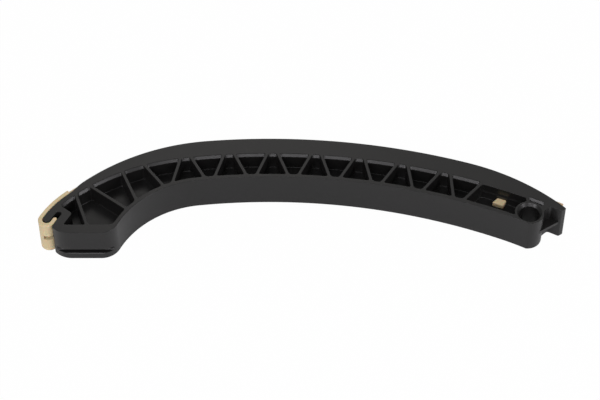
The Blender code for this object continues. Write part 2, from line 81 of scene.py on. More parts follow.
# Pad for the tensioner's piston
PAD_DROP = 56.6
PAD_WALL = 5.4
PAD_CORNER_RADIUS = 9.5
PAD_TOE_RADIUS = 11.0
PAD_LEFT_TURN = 70.0
PAD_FACET = 5.4
GROOVE_DEPTH = 2.8
GROOVE_HEIGHT = 2.6
GROOVE_LEVEL = 3.8

# Ribs
RIB = 1.5
EDGE_CHAMFER = 1.3
TRUSS_FIRST = -53.0
TRUSS_PITCH = 21.9
TRUSS_CELLS = 7
BELLY_GAP = 5.8
FLANGE_GAP = 6.2
LEFT_RIB_TURNS = ((36.7, 54.0), (26.3, 45.7), (19.2, 27.4))
PAD_RIB_TURN = 42.3
PAD_RIB_FOOT = 11.2
HEEL_TURN = 52.3
HEEL_REACH = 6.5
HEEL_RISE = 0.4
HEEL_FOOT = 5.3

# Pivot boss
PIVOT_STATION = 137.0
PIVOT_DEPTH = 14.2
BORE_RADIUS = 4.85
BORE_CHAMFER = 1.3
BOSS_WALL = 2.25
BOSS_RIB_LEAN = -0.3
BRIDGE_START = 141.7
BRIDGE_END = 144.7
BRIDGE_FOOT_TURN = 84.0
BOSS_BLEND = 5.5

# Latch of the lining
LATCH_STATION = 119.9
LATCH_LENGTH = 4.4
LATCH_HEIGHT = 6.8
LATCH_REACH = 4.2
LATCH_FLARE = 0.7
LATCH_LEAN = 1.0
LEDGE = 0.7
LEDGE_DEPTH = 4.4

# Moulded edges and corners
EDGE_ROUND = 0.22
RIM_ROUND = 0.2
FLOOR_ROUND = 0.3
DRAFT = 0.08
CORNER = 1.2
SMALL_CORNER = 0.5
LINING_ROUND = 0.35
TAB_ROUND = 0.4
TAB_CORNER = 0.6
GROOVE_LIP = 0.35
BORE_LIP = 0.12
SLOT_WEB_ROUND = 0.2
END_WEB_ROUND = 0.15

# How far the web's two bridges run into what they join
SLOT_WEB_OVERLAP = 1.0
SLOT_WEB_TURNS = (3.0, 1.2)
END_WEB_IN_FLANGE = 0.6
END_WEB_IN_BOSS = 0.5
END_WEB_INSET_TURN = 0.12

# Camera
CAMERA_ELEVATION = 49.0
CAMERA_DISTANCE = 970.0
CAMERA_TARGET = (15.22, -35.6)
CAMERA_LENS = 120.0
CAMERA_SENSOR = 36.0

# Light
COOL_WHITE = (0.98, 0.96, 1.0)
WARM_WHITE = (1.0, 0.96, 0.93)
WORLD_STRENGTH = 0.28

# Fineness
FINE = 0.2
FACET = 1.2
SMALL_FACET = 0.45
SEARCH = 25.0
CORNER_STEPS = 5
ROUND_STEPS = 3
BORE_SEGMENTS = 96
SHARP_ANGLE = 38.0

# Worked out from the sizes above
SEAT = -(LINING + FIT)
FLANGE_IN = SEAT - FLANGE
TIP_RADIUS = FLANGE / 2
SLOT_WIDTH = LINING + 2 * FIT
BOSS_RADIUS = BORE_RADIUS + BOSS_WALL
BELLY_RADIUS = CHAIN_RADIUS + CREST_RISE - RAIL_DEPTH
PAD_INSIDE = PAD_WALL - PAD_DROP
WEB_LOW = (RAIL_WIDTH - WEB) / 2
WEB_TOP = (RAIL_WIDTH + WEB) / 2
BEYOND = 2.0

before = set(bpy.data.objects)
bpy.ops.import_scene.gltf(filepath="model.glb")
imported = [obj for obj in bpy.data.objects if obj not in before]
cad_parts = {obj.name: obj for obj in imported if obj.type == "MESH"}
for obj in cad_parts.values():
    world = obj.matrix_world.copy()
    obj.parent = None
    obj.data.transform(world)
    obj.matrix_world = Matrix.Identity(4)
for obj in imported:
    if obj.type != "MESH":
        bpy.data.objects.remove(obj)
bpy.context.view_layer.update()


# Plan curves


def heading(turn):
    return Vector((math.sin(math.radians(turn)), math.cos(math.radians(turn))))


def turn_of(vector):
    return math.degrees(math.atan2(vector.x, vector.y))


def turn_at(station):
    """Turn of the main arc at a distance along the sliding face from the crown."""
    return math.degrees(station / CHAIN_RADIUS)


MAIN_CENTRE = Vector((0.0, -CHAIN_RADIUS))
LEFT_TURN = -turn_at(LEFT_START)
LEFT_CENTRE = MAIN_CENTRE + (CHAIN_RADIUS - LEFT_RADIUS) * heading(LEFT_TURN)
NOSE_CENTRE = LEFT_CENTRE + (LEFT_RADIUS - NOSE_RADIUS) * heading(-NOSE_START_TURN)
PIVOT = MAIN_CENTRE + (CHAIN_RADIUS - PIVOT_DEPTH) * heading(turn_at(PIVOT_STATION))
BELLY_LEFT_TURN = -turn_at(BELLY_LEFT_START)
BELLY_LEFT_CENTRE = MAIN_CENTRE + (BELLY_RADIUS - BELLY_LEFT_RADIUS) * heading(BELLY_LEFT_TURN)


def rail_point(offset, turn):
    """A point at an offset from the sliding face, outward positive."""
    if turn >= LEFT_TURN:
        return MAIN_CENTRE + (CHAIN_RADIUS + offset) * heading(turn)
    if turn >= -NOSE_START_TURN:
        return LEFT_CENTRE + (LEFT_RADIUS + offset) * heading(turn)
    return NOSE_CENTRE + (NOSE_RADIUS + offset) * heading(turn)


def belly_point(offset, turn):
    """A point at an offset from the concave face, positive towards the chain."""
    if turn >= BELLY_LEFT_TURN:
        return MAIN_CENTRE + (BELLY_RADIUS + offset) * heading(turn)
    return BELLY_LEFT_CENTRE + (BELLY_LEFT_RADIUS + offset) * heading(turn)


def rail_turn(point):
    """The turn at which a point stands beside the sliding face."""
    turn = turn_of(point - MAIN_CENTRE)
    if turn < LEFT_TURN:
        turn = turn_of(point - LEFT_CENTRE)
    if turn < -NOSE_START_TURN:
        turn = turn_of(point - NOSE_CENTRE)
    return turn


def belly_turn_of(point):
    """The turn at which a point stands beside the concave face."""
    turn = turn_of(point - MAIN_CENTRE)
    return turn if turn > BELLY_LEFT_TURN else turn_of(point - BELLY_LEFT_CENTRE)


def crest_centre(radius, turn):
    """Centre of the arc that the crest ends in, which leaves its main arc at a turn."""
    return MAIN_CENTRE + (CHAIN_RADIUS + CREST_RISE - radius) * heading(turn)


def crest_point(turn):
    """A point on the arcs of the side walls' crest."""
    left, right = -turn_at(CREST_LEFT_START), turn_at(CREST_RIGHT_START)
    if turn < left:
        return crest_centre(CREST_LEFT_RADIUS, left) + CREST_LEFT_RADIUS * heading(turn)
    if turn > right:
        return crest_centre(CREST_RIGHT_RADIUS, right) + CREST_RIGHT_RADIUS * heading(turn)
    return MAIN_CENTRE + (CHAIN_RADIUS + CREST_RISE) * heading(turn)


def crest_end(centre, radius, end, side):
    """Turn at which an arc of the crest heads straight for its end, or stands above it."""
    away = end - centre
    return turn_of(away) - side * math.degrees(math.acos(min(1.0, radius / away.length)))


def crest_line():
    """The crest from left to right. It runs on straight where an arc falls short of its end."""
    left, right = -turn_at(CREST_LEFT_START), turn_at(CREST_RIGHT_START)
    ends = rail_point(-CREST_LEFT_DROP, -CREST_LEFT_TURN), rail_point(-CREST_RIGHT_DROP, CREST_RIGHT_TURN)
    first = crest_end(crest_centre(CREST_LEFT_RADIUS, left), CREST_LEFT_RADIUS, ends[0], -1)
    last = crest_end(crest_centre(CREST_RIGHT_RADIUS, right), CREST_RIGHT_RADIUS, ends[1], 1)
    points = path(crest_point, first, last)
    if (points[0] - ends[0]).length > FIT and ends[0].x < points[0].x:
        points.insert(0, ends[0])
    if (points[-1] - ends[1]).length > FIT and ends[1].x > points[-1].x:
        points.append(ends[1])
    return points


def path(curve, start, end):
    """A fine line along a curve of turns."""
    middle = curve((start + end) / 2)
    rough = (curve(start) - middle).length + (curve(end) - middle).length
    count = max(6, math.ceil(rough / FINE))
    return [curve(start + (end - start) * i / count) for i in range(count + 1)]


def rail_path(offset, start, end):
    return path(lambda turn: rail_point(offset, turn), start, end)


def belly_path(offset, start, end):
    return path(lambda turn: belly_point(offset, turn), start, end)


def arc_path(centre, radius, start, end):
    return path(lambda turn: centre + radius * heading(turn), start, end)


def crossing(curve, point, along_line, side, near):
    """Turn, near a given one, at which a curve crosses the line through a point, moved to its right."""
    right = Vector((along_line.y, -along_line.x)).normalized()
    low, high = near - SEARCH, near + SEARCH

    def miss(turn):
        return (curve(turn) - point).dot(right) - side

    for _ in range(50):
        middle = (low + high) / 2
        if (miss(low) > 0) == (miss(middle) > 0):
            low = middle
        else:
            high = middle
    return (low + high) / 2


# Closed outlines from sides, with soft corners


def length_of(line):
    return sum((b - a).length for a, b in zip(line, line[1:]))


def walked(line, begin, stop, count):
    """Evenly spaced points along a line, between two distances from its start."""
    wanted = [begin + (stop - begin) * i / count for i in range(count + 1)]
    points = []
    passed = 0.0
    for a, b in zip(line, line[1:]):
        step = (b - a).length
        while len(points) <= count and wanted[len(points)] <= passed + step + 1e-7:
            share = (wanted[len(points)] - passed) / step if step > 0 else 0.0
            points.append(a.lerp(b, min(1.0, max(0.0, share))))
        passed += step
    while len(points) <= count:
        points.append(line[-1].copy())
    return points


def outline_of(sides, counts=None):
    """A closed outline of sides. Each side is its line, its facet length and the reach of the soft corner
    where it starts. Returns the outline and the count of facets on each side."""
    lengths = [length_of(line) for line, _, _ in sides]
    reaches = []
    for i, (_, _, reach) in enumerate(sides):
        reaches.append(min(reach, 0.42 * lengths[i], 0.42 * lengths[i - 1]))
    made, runs = [], []
    for i, (line, facet, _) in enumerate(sides):
        begin, stop = reaches[i], lengths[i] - reaches[(i + 1) % len(sides)]
        count = counts[i] if counts else max(1, round((stop - begin) / facet))
        made.append(count)
        runs.append(walked(line, begin, stop, count))
    points = []
    for i, run in enumerate(runs):
        if reaches[i] > 0:
            a, corner, b = runs[i - 1][-1], sides[i][0][0], run[0]
            for j in range(1, CORNER_STEPS):
                t = j / CORNER_STEPS
                points.append(a * (1 - t) ** 2 + corner * 2 * t * (1 - t) + b * t**2)
            points += run
        else:
            points += run[1:]
    return points, made


def moved_in(outline, distance):
    """The outline moved inwards by a distance, or outwards if the distance is negative."""
    area = sum(a.x * b.y - b.x * a.y for a, b in zip(outline, outline[1:] + outline[:1]))
    sign = 1 if area > 0 else -1
    points = []
    for i, point in enumerate(outline):
        back = (point - outline[i - 1]).normalized()
        ahead = (outline[(i + 1) % len(outline)] - point).normalized()
        inward = Vector((-back.y - ahead.y, back.x + ahead.x)) * sign
        if inward.length < 1e-6:
            points.append(point.copy())
            continue
        inward.normalize()
        share = max(0.5, inward.dot(Vector((-ahead.y, ahead.x)) * sign))
        points.append(point + inward * distance / share)
    return points


# Sides of the rail


def boss_meets_belly(offset):
    """Turn, about the pivot, at which the boss meets a line beside the concave face."""
    radius = BELLY_RADIUS + offset
    distance = CHAIN_RADIUS - PIVOT_DEPTH
    cosine = (distance**2 + BOSS_RADIUS**2 - radius**2) / (2 * distance * BOSS_RADIUS)
    return turn_of(MAIN_CENTRE - PIVOT) + math.degrees(math.acos(cosine))


def pad_corner():
    """Centre of the pad's round corner, and its turn where it meets the concave face."""
    y = -PAD_DROP + PAD_CORNER_RADIUS
    reach = BELLY_LEFT_RADIUS + PAD_CORNER_RADIUS
    drop = y - BELLY_LEFT_CENTRE.y
    centre = Vector((BELLY_LEFT_CENTRE.x - math.sqrt(reach**2 - drop**2), y))
    return centre, turn_of(centre - BELLY_LEFT_CENTRE)


def slot_root_turn():
    middle = NOSE_RADIUS + FLANGE_IN - SLOT_WIDTH / 2
    return -TIP_TURN + math.degrees(SLOT_LENGTH / middle)


def tip_centre():
    return rail_point(SEAT - TIP_RADIUS, -TIP_TURN)


def fillet(before, corner, after, radius):
    """The line of a round at a corner."""
    back, ahead = (before - corner).normalized(), (after - corner).normalized()
    opening = back.angle(ahead)
    reach = radius / math.tan(opening / 2)
    centre = corner + (back + ahead).normalized() * (radius / math.sin(opening / 2))
    first = turn_of(corner + back * reach - centre)
    last = turn_of(corner + ahead * reach - centre)
    return arc_path(centre, radius, first, first + (last - first + 180) % 360 - 180)


def rail_sides():
    """The rail's side view, clockwise from the finger's tip."""
    corner, corner_turn = pad_corner()
    belly_meets = boss_meets_belly(0.0)
    belly_start = turn_of(PIVOT + BOSS_RADIUS * heading(belly_meets) - MAIN_CENTRE)
    root = slot_root_turn()
    slot_in = FLANGE_IN - SLOT_WIDTH
    root_centre = rail_point(FLANGE_IN - SLOT_WIDTH / 2, root)
    pad_left = rail_point(slot_in, -PAD_LEFT_TURN)
    facet_drop = pad_left.y + PAD_DROP
    facet_foot = Vector((pad_left.x + math.sqrt(PAD_FACET**2 - facet_drop**2), -PAD_DROP))
    seat = rail_path(SEAT, -TIP_TURN, -RAMP_FOOT_TURN)
    crest = crest_line()
    flange = rail_path(FLANGE_IN, turn_at(FLANGE_END), turn_at(BRIDGE_END))
    boss = arc_path(PIVOT, BOSS_RADIUS, BRIDGE_FOOT_TURN, belly_meets + 360)
    belly = belly_path(0.0, belly_start, corner_turn)
    pad_round = arc_path(corner, PAD_CORNER_RADIUS, corner_turn + 180, 180)
    toe = fillet(pad_round[-1], facet_foot, pad_left, PAD_TOE_RADIUS)
    slot_wall = rail_path(slot_in, -PAD_LEFT_TURN, root)
    slot_root = arc_path(root_centre, SLOT_WIDTH / 2, root + 180, root)
    finger = rail_path(FLANGE_IN, root, -TIP_TURN)
    tip = arc_path(tip_centre(), TIP_RADIUS, 180 - TIP_TURN, 360 - TIP_TURN)
    return [
        (seat, FACET, 0),
        ([seat[-1], crest[0]], FACET, 1.5),
        (crest, FACET, 2.0),
        ([crest[-1], flange[0]], FACET, 0.8),
        (flange, FACET, SMALL_CORNER),
        ([flange[-1], boss[0]], FACET, CORNER),
        (boss, SMALL_FACET, CORNER),
        (belly, FACET, BOSS_BLEND),
        (pad_round, SMALL_FACET, 0),
        ([pad_round[-1], toe[0]], FACET, 0),
        (toe, SMALL_FACET, 0),
        ([toe[-1], pad_left], SMALL_FACET, 0),
        (slot_wall, SMALL_FACET, CORNER),
        (slot_root, SMALL_FACET, 0),
        (finger, SMALL_FACET, 0),
        (tip, SMALL_FACET, 0),
    ]


def heel_foot():
    """The corner of the heel's pocket on the pad's inner face, beside the slot."""
    return Vector((rail_point(FLANGE_IN - SLOT_WIDTH, -PAD_LEFT_TURN).x + HEEL_FOOT, PAD_INSIDE))


def ribs():
    """Each rib as two points of its middle line, on the flange and on the belly wall."""
    lines = [(rail_point(FLANGE_IN, -PAD_RIB_TURN), heel_foot() + Vector((PAD_RIB_FOOT, 0.0)))]
    for flange_turn_left, belly_turn_left in LEFT_RIB_TURNS:
        head = rail_point(FLANGE_IN, -flange_turn_left)
        lines.append((head, belly_point(BELLY_WALL, -belly_turn_left)))
    for cell in range(TRUSS_CELLS + 1):
        node_station = TRUSS_FIRST + cell * TRUSS_PITCH
        top = node_station + TRUSS_PITCH / 2
        pairs = [(top - FLANGE_GAP / 2, node_station + BELLY_GAP / 2)]
        if cell < TRUSS_CELLS:
            pairs.append((top + FLANGE_GAP / 2, node_station + TRUSS_PITCH - BELLY_GAP / 2))
        for flange_station, belly_station in pairs:
            head = MAIN_CENTRE + (CHAIN_RADIUS + FLANGE_IN) * heading(turn_at(flange_station))
            foot = MAIN_CENTRE + (BELLY_RADIUS + BELLY_WALL) * heading(turn_at(belly_station))
            lines.append((head, foot))
    return lines


def boss_rib():
    """Middle line of the post that stands between the flange and the boss."""
    foot = PIVOT + Vector((BOSS_RIB_LEAN, 0.0))
    turn = crossing(lambda a: rail_point(FLANGE_IN, a), foot, Vector((0, 1)), 0.0, turn_at(PIVOT_STATION))
    return rail_point(FLANGE_IN, turn), foot


def flange_turn(line, side, offset):
    head, foot = line
    return crossing(lambda a: rail_point(offset, a), foot, head - foot, side, rail_turn(head))


def belly_turn(line, side):
    head, foot = line
    return crossing(lambda a: belly_point(BELLY_WALL, a), foot, head - foot, side, belly_turn_of(foot))


def pad_level(line, side):
    """The point where one side of a rib meets the pad's inner face."""
    head, foot = line
    ahead = (head - foot).normalized()
    start = foot + Vector((ahead.y, -ahead.x)) * side
    return start + ahead * ((PAD_INSIDE - start.y) / ahead.y)


def truss_pocket(left, right, offset):
    flange = rail_path(offset, flange_turn(left, RIB / 2, offset), flange_turn(right, -RIB / 2, offset))
    wall = belly_path(BELLY_WALL, belly_turn(right, -RIB / 2), belly_turn(left, RIB / 2))
    return [
        (flange, FACET, CORNER),
        ([flange[-1], wall[0]], 9 * FACET, CORNER),
        (wall, FACET, CORNER),
        ([wall[-1], flange[0]], 9 * FACET, CORNER),
    ]


def heel_pocket(first, offset):
    root = rail_point(FLANGE_IN - SLOT_WIDTH / 2, slot_root_turn())
    flange = rail_path(offset, -HEEL_TURN, flange_turn(first, -RIB / 2, offset))
    heel = root + Vector((HEEL_REACH, HEEL_RISE))
    right_foot = pad_level(first, -RIB / 2)
    left_foot = heel_foot()
    return [
        (flange, FACET, CORNER),
        ([flange[-1], right_foot], 9 * FACET, CORNER),
        ([right_foot, left_foot], 9 * FACET, CORNER),
        ([left_foot, heel], 9 * FACET, CORNER),
        ([heel, flange[0]], 9 * FACET, CORNER),
    ]


def pad_pocket(first, second, offset):
    _, corner_turn = pad_corner()
    whole = belly_path(BELLY_WALL, belly_turn(second, -RIB / 2), corner_turn + 1)
    wall = [point for point in whole if point.y > PAD_INSIDE]
    slope = (wall[-1] - wall[-2]).normalized()
    wall.append(wall[-1] + slope * ((PAD_INSIDE - wall[-1].y) / slope.y))
    flange = rail_path(offset, flange_turn(first, RIB / 2, offset), flange_turn(second, -RIB / 2, offset))
    foot = pad_level(first, RIB / 2)
    return [
        (flange, FACET, CORNER),
        ([flange[-1], wall[0]], 9 * FACET, CORNER),
        (wall, FACET, CORNER),
        ([wall[-1], foot], 9 * FACET, 2 * CORNER),
        ([foot, flange[0]], 9 * FACET, CORNER),
    ]


def boss_pocket(post, offset):
    flange = rail_path(offset, flange_turn(post, RIB / 2, offset), turn_at(BRIDGE_START))
    away = turn_of(rail_point(FLANGE_IN, turn_at(BRIDGE_START)) - PIVOT)
    post_side = math.degrees(math.asin((BOSS_RIB_LEAN + RIB / 2) / BOSS_RADIUS))
    boss = arc_path(PIVOT, BOSS_RADIUS, away, post_side)
    return [
        (flange, FACET, SMALL_CORNER),
        ([flange[-1], boss[0]], FACET, CORNER),
        (boss, SMALL_FACET, CORNER),
        ([boss[-1], flange[0]], FACET, SMALL_CORNER),
    ]


def latch_pocket(offset):
    left, post = ribs()[-1], boss_rib()
    post_side = math.degrees(math.asin((BOSS_RIB_LEAN - RIB / 2) / BOSS_RADIUS))
    boss = arc_path(PIVOT, BOSS_RADIUS, post_side, boss_meets_belly(BELLY_WALL))
    wall = belly_path(BELLY_WALL, turn_of(boss[-1] - MAIN_CENTRE), belly_turn(left, RIB / 2))
    flange = rail_path(offset, flange_turn(left, RIB / 2, offset), flange_turn(post, -RIB / 2, offset))
    return [
        (flange, FACET, CORNER),
        ([flange[-1], boss[0]], FACET, SMALL_CORNER),
        (boss, SMALL_FACET, SMALL_CORNER),
        (wall, FACET, CORNER),
        ([wall[-1], flange[0]], 9 * FACET, CORNER),
    ]


def chamfered_pockets(offset):
    """Sides of every pocket whose flange edge is chamfered, from left to right."""
    lines = ribs()
    found = [heel_pocket(lines[0], offset), pad_pocket(lines[0], lines[1], offset)]
    found += [truss_pocket(left, right, offset) for left, right in zip(lines[1:], lines[2:])]
    return found + [boss_pocket(boss_rib(), offset)]


def lining_sides():
    """The lining's side view: the strip, the turn round the finger and the return in the slot."""
    end = turn_at(LINING_END)
    outer_return = FLANGE_IN - FIT - LINING
    inner_return = FLANGE_IN - FIT
    return_turn = -TIP_TURN + math.degrees(RETURN_LENGTH / (NOSE_RADIUS + inner_return))
    middle = rail_point((outer_return + inner_return) / 2, return_turn)
    top = rail_path(0.0, -TIP_TURN, end)
    under = rail_path(SEAT + FIT, end, -TIP_TURN)
    return [
        (top, FACET, 0),
        ([top[-1], under[0]], FACET, SMALL_CORNER),
        (under, FACET, SMALL_CORNER),
        (arc_path(tip_centre(), TIP_RADIUS + FIT, 360 - TIP_TURN, 180 - TIP_TURN), SMALL_FACET, 0),
        (rail_path(inner_return, -TIP_TURN, return_turn), SMALL_FACET, 0),
        (arc_path(middle, LINING / 2, return_turn, return_turn + 180), SMALL_FACET / 2, 0),
        (rail_path(outer_return, return_turn, -TIP_TURN), SMALL_FACET, 0),
        (arc_path(tip_centre(), TIP_RADIUS + FIT + LINING, 180 - TIP_TURN, 360 - TIP_TURN), SMALL_FACET, 0),
    ]


# Solids


def placed(point, level):
    return (point.x * MM, point.y * MM, level * MM)


def finished(name, shape):
    """The object of a closed shape, with its faces pointing out."""
    bmesh.ops.recalc_face_normals(shape, faces=shape.faces)
    if shape.calc_volume(signed=True) < 0:
        bmesh.ops.reverse_faces(shape, faces=shape.faces)
    mesh = bpy.data.meshes.new(name)
    shape.to_mesh(mesh)
    shape.free()
    obj = bpy.data.objects.new(name, mesh)
    bpy.context.scene.collection.objects.link(obj)
    return obj


def solid(name, rings):
    """A closed solid through outlines with equal numbers of points, each given with its level."""
    shape = bmesh.new()
    loops = [[shape.verts.new(placed(p, level)) for p in ring] for level, ring in rings]
    for lower, upper in zip(loops, loops[1:]):
        for i in range(len(lower)):
            j = (i + 1) % len(lower)
            shape.faces.new((lower[i], lower[j], upper[j], upper[i]))
    shape.faces.new(loops[0])
    shape.faces.new(loops[-1])
    bmesh.ops.remove_doubles(shape, verts=shape.verts, dist=2e-7)
    return finished(name, shape)


def quarter(radius):
    """Steps of a quarter round: how far in from the edge, and how far along from where it starts."""
    turns = [math.radians(90 * i / ROUND_STEPS) for i in range(ROUND_STEPS + 1)]
    return [(radius * (1 - math.sin(turn)), radius * (1 - math.cos(turn))) for turn in turns]


def rounded_slab(name, outline, low, high, radius):
    """A slab whose long edges are rounded on both faces."""
    rings = [(low + rise, moved_in(outline, inward)) for inward, rise in quarter(radius)]
    rings += [(high - rise, moved_in(outline, inward)) for inward, rise in reversed(quarter(radius))]
    return solid(name, rings)


def slab(name, outline, low, high):
    return solid(name, [(low, outline), (high, outline)])


def joined(name, pieces):
    """Separate solids as one object, so that one Boolean takes them all."""
    shape = bmesh.new()
    for piece in pieces:
        shape.from_mesh(piece.data)
        bpy.data.objects.remove(piece)
    mesh = bpy.data.meshes.new(name)
    shape.to_mesh(mesh)
    shape.free()
    obj = bpy.data.objects.new(name, mesh)
    bpy.context.scene.collection.objects.link(obj)
    return obj


def combine(target, tools, operation):
    """Cuts the tools out of the target, or joins them to it, and deletes them."""
    for tool in tools:
        step = target.modifiers.new(tool.name, "BOOLEAN")
        step.operation = operation
        step.solver = "EXACT"
        step.object = tool
    bpy.context.view_layer.update()
    graph = bpy.context.evaluated_depsgraph_get()
    mesh = bpy.data.meshes.new_from_object(target.evaluated_get(graph))
    target.modifiers.clear()
    target.data = mesh
    for tool in tools:
        bpy.data.objects.remove(tool)


def mirrored(rings):
    return [(RAIL_WIDTH - level, ring) for level, ring in rings]


def rim_profile():
    """How a pocket opens towards its rim: depth below the side face, chamfer on the flange, and rim round."""
    soft = RIM_ROUND
    profile = [(EDGE_CHAMFER + soft, 0.0, 0.0), (EDGE_CHAMFER, 0.15 * soft, 0.0)]
    profile += [(EDGE_CHAMFER - soft, soft, 0.0), (soft, EDGE_CHAMFER - soft, 0.0)]
    for along_rim, depth in quarter(soft)[1:]:
        profile.append((along_rim, EDGE_CHAMFER - along_rim, depth))
    return profile


def pocket_tool(sides_at):
    """Cutter of one pocket in the upper half: a soft floor, a slight draft and an opened rim."""
    base, counts = outline_of(sides_at(FLANGE_IN))
    rings = [(WEB_TOP + rise, moved_in(base, inward + DRAFT)) for inward, rise in quarter(FLOOR_ROUND)]
    for depth, chamfer, rim in rim_profile():
        outline, _ = outline_of(sides_at(FLANGE_IN + chamfer), counts)
        rings.append((RAIL_WIDTH - depth, moved_in(outline, -rim)))
    rings.append((RAIL_WIDTH + BEYOND, rings[-1][1]))
    return rings


def latch_pocket_tool():
    """Cutter of the latch pocket in the upper half. Part of the flange stays as a ledge in it."""
    wide, counts = outline_of(latch_pocket(FLANGE_IN))
    deep, _ = outline_of(latch_pocket(FLANGE_IN - LEDGE), counts)
    ledge = RAIL_WIDTH - LEDGE_DEPTH
    rings = [(WEB_TOP + rise, moved_in(deep, inward)) for inward, rise in quarter(FLOOR_ROUND)]
    soft, _ = outline_of(latch_pocket(FLANGE_IN - 0.8 * LEDGE), counts)
    rings += [(ledge - RIM_ROUND, deep), (ledge, soft), (ledge, wide)]
    for along_rim, depth in quarter(RIM_ROUND):
        rings.append((RAIL_WIDTH - along_rim, moved_in(wide, -depth)))
    rings.append((RAIL_WIDTH + BEYOND, rings[-1][1]))
    return rings


def pocket_tools():
    """All the pockets, cut from both side faces down to the web."""
    tools = [latch_pocket_tool()]
    for index in range(len(chamfered_pockets(FLANGE_IN))):
        tools.append(pocket_tool(lambda offset, index=index: chamfered_pockets(offset)[index]))
    pieces = []
    for rings in tools:
        pieces += [solid("pocket", rings), solid("pocket", mirrored(rings))]
    return joined("pockets", pieces)


def height_above(line, foot, outward):
    """Height of a line above a point of the seat, along the seat's normal."""
    side = Vector((outward.y, -outward.x))
    for a, b in zip(line, line[1:]):
        first, last = (a - foot).dot(side), (b - foot).dot(side)
        if first <= 0 < last:
            return max(0.02, (a.lerp(b, first / (first - last)) - foot).dot(outward))
    return 0.02


def channel_tool():
    """The space between the side walls, with a soft edge along the crest."""
    start, end = -RAMP_FOOT_TURN, turn_at(FLANGE_END) + 4
    seat = rail_path(SEAT, start, end)
    count = round(length_of(seat) / FACET)
    stations = walked(seat, 0.0, length_of(seat), count)
    crest = [seat[0]] + crest_line()
    shape = bmesh.new()
    loops = []
    for i, foot in enumerate(stations):
        back = stations[max(0, i - 1)]
        ahead = stations[min(count, i + 1)]
        along = (ahead - back).normalized()
        outward = Vector((-along.y, along.x))
        height = height_above(crest, foot, outward)
        soft = min(EDGE_ROUND, 0.6 * height)
        section = [(0.0, SIDE_WALL)]
        section += [(height - inward, SIDE_WALL - rise) for inward, rise in quarter(soft)]
        section.append((height + 3 * BEYOND, SIDE_WALL - soft))
        loop = [(rise, level) for rise, level in section]
        loop += [(rise, RAIL_WIDTH - level) for rise, level in reversed(section)]
        loops.append([shape.verts.new(placed(foot + outward * rise, level)) for rise, level in loop])
    for one, other in zip(loops, loops[1:]):
        for i in range(len(one)):
            j = (i + 1) % len(one)
            shape.faces.new((one[i], one[j], other[j], other[i]))
    shape.faces.new(loops[0])
    shape.faces.new(loops[-1])
    return finished("chain_channel", shape)


def block_outline(out, middle, across, low, high):
    side = Vector((out.y, -out.x)) * across
    inner, outer = middle + out * low, middle + out * high
    return [inner - side, inner + side, outer + side, outer - side]


def soft_polygon(corners, reach):
    """A closed outline through corners, each softened."""
    ends = corners[1:] + corners[:1]
    return outline_of([([a, b], FACET, reach) for a, b in zip(corners, ends)])[0]


def latch_outline(grow, high_offset):
    out = heading(turn_at(LATCH_STATION))
    low = CHAIN_RADIUS + FLANGE_IN - grow
    return block_outline(out, MAIN_CENTRE, LATCH_LENGTH / 2 + grow, low, CHAIN_RADIUS + high_offset)


def tab_outline():
    """The latch tab, which widens and leans towards its free end."""
    corners = latch_outline(0.0, -LINING / 2)
    out = heading(turn_at(LATCH_STATION))
    right = Vector((out.y, -out.x))
    ends = [corners[0] - out * LATCH_REACH, corners[1] - out * LATCH_REACH]
    ends[0] -= right * (LATCH_LEAN + LATCH_FLARE)
    ends[1] -= right * (LATCH_LEAN - LATCH_FLARE)
    return [corners[0], ends[0], ends[1], corners[1]] + corners[2:]


def bore_tool():
    """The pivot bore with a chamfer at each mouth."""

    def ring(radius):
        return [PIVOT + radius * heading(360 * i / BORE_SEGMENTS) for i in range(BORE_SEGMENTS)]

    lip, rim = BORE_LIP, BORE_RADIUS + BORE_CHAMFER
    profile = [(BEYOND, rim + lip), (0.0, rim + lip), (-0.3 * lip, rim + 0.3 * lip), (-lip, rim - lip)]
    profile += [(-BORE_CHAMFER, BORE_RADIUS + lip), (-BORE_CHAMFER - lip, BORE_RADIUS + 0.3 * lip)]
    profile += [(-BORE_CHAMFER - 3 * lip, BORE_RADIUS)]
    rings = [(-rise, ring(radius)) for rise, radius in profile]
    return solid("pivot_bore", rings + mirrored(rings)[::-1])


def groove_tool():
    """The groove across the tensioner pad. The lip above it has a small chamfer."""
    corner, _ = pad_corner()
    left = rail_point(FLANGE_IN - SLOT_WIDTH, -PAD_LEFT_TURN).x - BEYOND
    right = corner.x + 2 * PAD_CORNER_RADIUS
    floor = -PAD_DROP + GROOVE_DEPTH
    low, high = GROOVE_LEVEL, GROOVE_LEVEL + GROOVE_HEIGHT
    lip = GROOVE_LIP
    profile = [(-PAD_DROP - BEYOND, low - lip), (-PAD_DROP, low - lip), (-PAD_DROP + lip, low)]
    profile += [(floor - lip, low), (floor, low + lip), (floor, high - lip), (floor - lip, high)]
    profile += [(-PAD_DROP + lip, high), (-PAD_DROP, high + lip), (-PAD_DROP - BEYOND, high + lip)]
    shape = bmesh.new()
    loops = [[shape.verts.new((x * MM, y * MM, z * MM)) for y, z in profile] for x in (left, right)]
    for i in range(len(profile)):
        j = (i + 1) % len(profile)
        shape.faces.new((loops[0][i], loops[0][j], loops[1][j], loops[1][i]))
    shape.faces.new(loops[0])
    shape.faces.new(loops[1])
    return finished("pad_groove", shape)


def slot_web():
    """The web where it crosses the slot for the lining's hook."""
    past_root, short_of_pad = SLOT_WEB_TURNS
    root = slot_root_turn() + past_root
    finger = rail_path(FLANGE_IN + TIP_RADIUS / 2, -TIP_TURN, root)
    pad = rail_path(FLANGE_IN - SLOT_WIDTH - SLOT_WEB_OVERLAP, root, -PAD_LEFT_TURN + short_of_pad)
    outline = walked(finger, 0, length_of(finger), 6) + walked(pad, 0, length_of(pad), 6)
    return rounded_slab("slot_web", outline, WEB_LOW, WEB_TOP, SLOT_WEB_ROUND)


